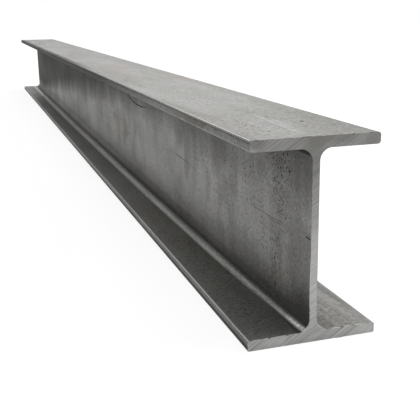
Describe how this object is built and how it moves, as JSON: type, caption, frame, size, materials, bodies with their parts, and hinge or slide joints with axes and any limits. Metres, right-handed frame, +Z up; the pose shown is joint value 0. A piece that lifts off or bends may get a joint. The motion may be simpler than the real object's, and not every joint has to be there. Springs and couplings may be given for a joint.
{
  "type": "aluminium i-beam",
  "caption": "Straight length of aluminium I-beam with parallel flanges, filleted roots and square sawn ends, for framing and supports",
  "frame": {"origin": "middle of the underside of the lower flange, half way along the beam", "axes": "+X along the beam to the sawn end nearest the picture's camera, +Y across the flanges to the picture's right, +Z up through the web"},
  "size_m": [2, 0.1016, 0.1524],
  "materials": {
    "mill_aluminium": "dull grey mill finish with cloudy streaks, small pits and scratches, and sawn ends"
  },
  "bodies": {
    "root": {"i_beam": "mill_aluminium"}
  },
  "joints": []
}
